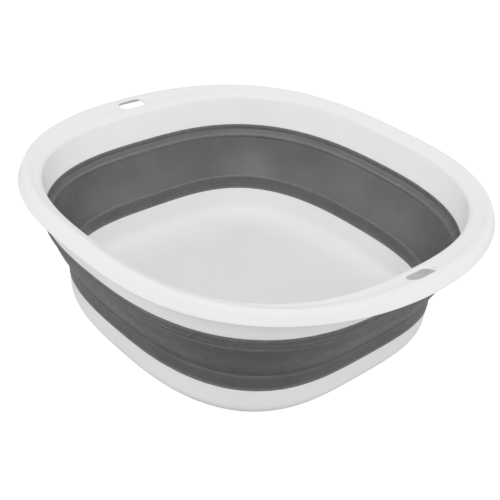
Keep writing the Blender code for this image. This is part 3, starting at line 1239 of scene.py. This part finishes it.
@dataclass
class Tub:
    """The stiff tub: low side, large rounded foot of the side and level floor.

    Attributes:
        seams: The seam it shares with the wall.
        pads: The pads that sit in its underside.
        finish: Its plastic.
        plastic: Wall thickness.
        lean: How far the side leans in on its way down.
        fillet: Radius between side and floor.
        clearance: Room round a pad in its recess.
        recess_round: Rounding of the recesses' edges.
        recess_margin: Room between a recess and the window it is cut in.
        recess_corner: Bevel where a recess's wall meets its top.
        hub: Reach of the innermost ring, as a share of the seam's.
        seam_ease: Height over which the seam's thickness fades.
        square_share: Share of the reach over which the outline changes.
        wear_bend: Bend radius at which an edge is fully worn.
        square_seam: How square the outline is at the seam, along X and along Y.
        square_floor: The same at the floor.
        floor_rings: Rings on the floor.
    """

    seams: Seams
    pads: Pads
    finish: StiffPlastic
    plastic: float = 0.0028
    lean: float = 0.0022
    fillet: float = 0.0160
    clearance: float = 0.0003
    recess_round: float = 0.0003
    recess_margin: float = 0.0012
    recess_corner: float = 0.0001
    hub: float = 0.02
    seam_ease: float = 0.012
    square_share: float = 0.25
    wear_bend: float = 0.004
    square_seam: tuple[float, float] = (2.63, 3.30)
    square_floor: tuple[float, float] = (2.86, 3.30)
    floor_rings: int = 44

    def section(self, seam: float) -> tuple[np.ndarray, np.ndarray, np.ndarray]:
        """Open section from the middle of the underside round to the middle of the floor.

        Formula: a bent middle line from the seam to near the middle; outer face = line -
        normal * half and inner face = line + normal * half, joined over the tongue.

        Args:
            seam: Reach of the seam.

        Returns:
            The section's points, the share of the way at each, and the middle-line station
            of each, counted from the seam, or -1 on the tongue.
        """
        seam_z, floor_z = self.seams.lower()[2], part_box("base_tub")[0].z + self.plastic / 2
        corners = [(seam, seam_z), (seam - self.lean, floor_z), (seam * self.hub, floor_z)]
        line = bent_line(corners, (self.fillet,), (10, self.floor_rings), (18,))
        normal, _ = measured(line)
        normal[0] = (-1.0, 0.0)
        ease = np.clip((seam_z - line[:, 1]) / self.seam_ease, 0.0, 1.0)
        half = self.seams.thickness / 2 + (self.plastic - self.seams.thickness) / 2 * ease
        outer, inner = line - normal * half[:, None], line + normal * half[:, None]
        tongue = np.array(self.seams.tongue_corners(seam, seam_z, 1))[::-1]
        loop = np.concatenate([outer[::-1], tongue, inner])
        count = len(line)
        drop = np.clip((seam - line[:, 0]) / (seam * self.square_share), 0.0, 1.0)
        shares = np.concatenate([drop[::-1], np.zeros(4), drop])
        station = np.concatenate([np.arange(count)[::-1], np.full(4, -1), np.arange(count)])
        sharp = np.zeros(len(loop), bool)
        sharp[count - 1:count + 5] = True
        points, source = softened(loop, sharp, self.seams.edge, 3)
        return points, shares[source], station[source]

    def add_recess(self, mould: Mould, index: np.ndarray, number: int) -> np.ndarray:
        """Sink the recess of one pad into the underside.

        Formula: a window of the grid is left out round the pad. Rings run from its border to
        the recess, over an edge rounded by d = r (1 - sin a) and height r (1 - cos a), up the
        recess's wall, and in to a pole at its middle.

        Args:
            mould: Where the points and faces go.
            index: Point numbers of the underside's level rows, from the middle outwards.
            number: The pad.

        Returns:
            A mask of the faces of those rows that stay.
        """
        centre, radius, top = self.pads.place(number)
        radius += self.clearance
        plan = mould.points[index][..., :2] - centre
        near = np.linalg.norm(plan, axis=2) < radius + self.recess_round + self.recess_margin
        rows = np.flatnonzero(near.any(axis=1))
        columns = np.flatnonzero(near.any(axis=0))
        shift = 0
        if columns[0] == 0 and columns[-1] == index.shape[1] - 1:
            shift = index.shape[1] // 2
            columns = np.flatnonzero(np.roll(near, shift, axis=1).any(axis=0))
        first, last = rows[0] - 1, rows[-1] + 1
        left, right = columns[0] - 1 - shift, columns[-1] + 1 - shift
        ring_rows, ring_columns = window_loop(first, last, left, right)
        border = index[ring_rows, ring_columns % index.shape[1]]
        edge = mould.points[border, :2] - centre
        way = edge / np.linalg.norm(edge, axis=1)[:, None]
        level = mould.points[border[0], 2]
        lid = top + self.clearance
        rings, wear = [], []

        def ring(size: float, height: float, share: float, worn: float) -> None:
            """Add a ring between the recess at that size and the window's border."""
            at = way * size + (edge - way * size) * share
            rings.append(np.column_stack([centre + at, np.full(len(at), height)]))
            wear.append(worn)

        ring(radius + self.recess_round, level, 0.5, 0.0)
        for a in np.radians((0.0, 30.0, 60.0, 90.0)):
            ring(radius + self.recess_round * (1 - np.sin(a)),
                 level + self.recess_round * (1 - np.cos(a)), 0.0, 0.5)
        ring(radius, lid - self.recess_corner, 0.0, 0.0)
        ring(radius - self.recess_corner, lid, 0.0, 0.0)
        for size in (0.75, 0.4, 0.1):
            ring(radius * size, lid, 0.0, 0.0)
        new = mould.add_points(np.array(rings), np.array(wear)[:, None])
        mould.add_faces(grid_faces(np.concatenate([border[None], new]), False))
        mould.cap(new[-1], *centre, lid)
        keep = np.ones(index.shape, bool)
        keep[np.ix_(np.arange(first, last), np.arange(left, right) % index.shape[1])] = False
        return keep

    def build(self) -> bpy.types.Object:
        """Make the tub and return it."""
        half_x, half_y, _ = self.seams.lower()
        loop_x, share, station = self.section(half_x)
        loop_y, _, _ = self.section(half_y)
        squares = np.stack([self.square_seam[k] + (self.square_floor[k] - self.square_seam[k])
                            * eased(share) for k in (0, 1)], axis=1)
        shell = RoundedShell(loop_x, loop_y, squares)
        mould = Mould("tub_moulding")
        index = mould.add_points(shell.points(), edge_wear(loop_x, self.wear_bend)[:, None])
        faces = grid_faces(index, False)
        keep = np.ones(faces.shape[:2], bool)
        level = self.floor_rings
        for number in PAD_NUMBERS:
            keep[:level] &= self.add_recess(mould, index[:level + 1], number)[:level]
        mould.add_faces(faces[keep])
        for end in (0, -1):
            mould.cap(index[end], 0.0, 0.0, loop_x[end, 1])
        piece = mould.finished(self.finish.material())
        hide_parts("base_tub")
        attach(piece, Body.BASE.value)
        return piece


# ---------------------------------------------------------------- studio


@dataclass(frozen=True)
class SoftBox:
    """A soft rectangular light that faces the basin.

    Attributes:
        name: Name of the light.
        azimuth: Degrees round the basin; 0 stands at -Y and 90 at +X.
        elevation: Degrees above the floor.
        distance: Distance from the basin's middle.
        size: Width and height.
        power: Watts.
    """

    name: str
    azimuth: float
    elevation: float
    distance: float
    size: tuple[float, float]
    power: float

    def build(self, target: Vector) -> bpy.types.Object:
        """Hang the light, facing the target, and return it."""
        back = bearing(self.azimuth, self.elevation)
        data = bpy.data.lights.new(self.name, "AREA")
        data.shape = "RECTANGLE"
        data.size, data.size_y = self.size
        data.energy = self.power
        light = bpy.data.objects.new(self.name, data)
        light.location = target + back * self.distance
        light.rotation_mode = "QUATERNION"
        light.rotation_quaternion = (-back).to_track_quat("-Z", "Y")
        bpy.context.scene.collection.objects.link(light)
        return light


@dataclass
class Studio:
    """Plain pale floor, soft light and the camera.

    Attributes:
        floor: Finish of the floor.
        floor_reach: Distance from the basin to the wall that the floor turns up into.
        cove: Radius of that turn.
        wall_height: Height of the wall.
        disc: Radius of the flat disc in the floor's middle.
        floor_rings: Rings from the disc to the cove.
        cove_rings: Rings in the cove's arc, its start included.
        around: Number of columns.
        sky: Strength of the light from all round above the horizon.
        ground: Strength of the light from below it.
        horizon: Heights between which the one fades into the other.
        target: The point that the lights face.
        boxes: The soft lights.
        white_at: Light that shows as pure white.
        tones: Light and how bright it is shown, from black to white.
        stand: Where the camera stands.
        facing: Azimuth and elevation it looks down along.
        roll: How far it is turned about its own axis, in degrees.
        lens: Focal length in millimetres.
        sensor: Width of the sensor in millimetres.
        clip: Nearest and farthest distance that the camera sees.
    """

    floor: FloorPaint = FloorPaint()
    floor_reach: float = 6.0
    cove: float = 1.2
    wall_height: float = 5.0
    disc: float = 0.5
    floor_rings: int = 8
    cove_rings: int = 13
    around: int = 96
    sky: float = 0.55
    ground: float = 0.46
    horizon: tuple[float, float] = (-0.12, 0.25)
    target: tuple[float, float, float] = (0.0, 0.0, 0.07)
    boxes: tuple[SoftBox, ...] = (
        SoftBox("key_box", 46.0, 64.0, 1.7, (1.3, 1.1), 11.0),
        SoftBox("front_box", 46.0, 30.0, 1.9, (1.5, 0.9), 13.0),
        SoftBox("left_box", 318.0, 20.0, 1.6, (1.2, 1.0), 8.0),
        SoftBox("right_box", 138.0, 20.0, 1.6, (1.2, 1.0), 8.0),
    )
    white_at: float = 1.6
    tones: tuple[tuple[float, float], ...] = (
        (0.0, 0.0), (0.06, 0.043), (0.16, 0.165), (0.35, 0.355), (0.70, 0.70),
        (0.90, 0.81), (1.10, 0.86), (1.35, 0.91), (1.6, 1.0),
    )
    stand: tuple[float, float, float] = (0.54578, -0.52612, 0.53655)
    facing: tuple[float, float] = (46.05, 32.09)
    roll: float = 4.72
    lens: float = 66.695
    sensor: float = 36.0
    clip: tuple[float, float] = (0.05, 30.0)

    def add_floor(self) -> bpy.types.Object:
        """Lay the floor under the pads and return it.

        Formula: a level disc whose edge turns up through a quarter arc of the cove's radius
        into an upright wall, swept round the z axis.
        """
        a = np.linspace(0.0, np.pi / 2, self.cove_rings)[1:]
        level = np.linspace(self.disc, self.floor_reach - self.cove, self.floor_rings)
        reach = np.concatenate([level, self.floor_reach - self.cove * (1 - np.sin(a)),
                                [self.floor_reach]])
        height = np.concatenate([np.zeros(self.floor_rings), self.cove * (1 - np.cos(a)),
                                 [self.wall_height]])
        turn = full_turn(self.around)
        points = np.stack([reach[:, None] * np.cos(turn), reach[:, None] * np.sin(turn),
                           np.repeat(height[:, None], self.around, axis=1)], axis=2)
        index = np.arange(points[..., 0].size).reshape(points.shape[:2])
        mesh = bpy.data.meshes.new("studio_floor")
        quads = grid_faces(index, False)[..., ::-1].reshape(-1, 4).tolist()
        mesh.from_pydata(points.reshape(-1, 3).tolist(), [], [index[0].tolist()] + quads)
        mesh.shade_smooth()
        mesh.materials.append(self.floor.material())
        floor = bpy.data.objects.new("studio_floor", mesh)
        bpy.context.scene.collection.objects.link(floor)
        floor.visible_diffuse = floor.visible_glossy = False
        return floor

    def add_camera(self) -> bpy.types.Object:
        """Set up the camera and return it."""
        forward = -bearing(*self.facing)
        a = np.radians(self.facing[0])
        level = Vector((np.cos(a), np.sin(a), 0.0))
        upright = level.cross(forward)
        r = np.radians(self.roll)
        right = level * np.cos(r) + upright * np.sin(r)
        up = upright * np.cos(r) - level * np.sin(r)
        data = bpy.data.cameras.new("camera")
        data.lens = self.lens
        data.sensor_width = self.sensor
        data.clip_start, data.clip_end = self.clip
        camera = bpy.data.objects.new("camera", data)
        turn = Matrix((right, up, -forward)).transposed().to_4x4()
        camera.matrix_world = Matrix.Translation(self.stand) @ turn
        bpy.context.scene.collection.objects.link(camera)
        bpy.context.scene.camera = camera
        return camera

    def add_surroundings(self) -> bpy.types.World:
        """Light from all round, brighter from above the horizon than from below it."""
        world = bpy.data.worlds.new("studio")
        world.use_nodes = True
        tree = world.node_tree
        direction = tree.nodes.new("ShaderNodeTexCoord").outputs["Generated"]
        split = tree.nodes.new("ShaderNodeSeparateXYZ")
        tree.links.new(direction, split.inputs["Vector"])
        strength = mapped(tree, split.outputs["Z"], (*self.horizon, self.ground, self.sky))
        tree.links.new(strength, tree.nodes["Background"].inputs["Strength"])
        tree.nodes["Background"].inputs["Color"].default_value = (1.0, 1.0, 1.0, 1.0)
        bpy.context.scene.world = world
        return world

    def develop(self) -> None:
        """Lay the brightest tones gently together, so that white plastic keeps its form."""
        view = bpy.context.scene.view_settings
        view.view_transform = "Standard"
        view.use_curve_mapping = True
        mapping = view.curve_mapping
        mapping.white_level = (self.white_at,) * 3
        curve = mapping.curves[3]
        for place, (light, shown) in enumerate(self.tones):
            if place in (0, len(self.tones) - 1):
                curve.points[-1 if place else 0].location = (light / self.white_at, shown)
            else:
                curve.points.new(light / self.white_at, shown)
        mapping.update()

    def build(self) -> None:
        """Set up floor, lights, surroundings and camera."""
        self.add_floor()
        for box in self.boxes:
            box.build(Vector(self.target))
        self.add_surroundings()
        self.develop()
        self.add_camera()


def main() -> None:
    """Build the basin piece by piece, then the studio, and report each."""
    logging.basicConfig(level=logging.INFO, format="%(name)s: %(message)s")
    seams = Seams()
    pads = Pads(PadRubber("pad_rubber"))
    sub_assemblies = (
        Rim(seams, StiffPlastic("white_rim_plastic")),
        FoldingWall(seams, SoftPlastic("grey_soft_plastic")),
        Tub(seams, pads, StiffPlastic("white_tub_plastic", colour=(0.82, 0.82, 0.82))),
        pads,
    )
    for part in sub_assemblies:
        made = part.build()
        for piece in made if isinstance(made, list) else [made]:
            log.info("%s: %d points, %d faces", piece.name, len(piece.data.vertices),
                     len(piece.data.polygons))
    Studio().build()
    log.info("studio ready")


if __name__ == "__main__":
    main()
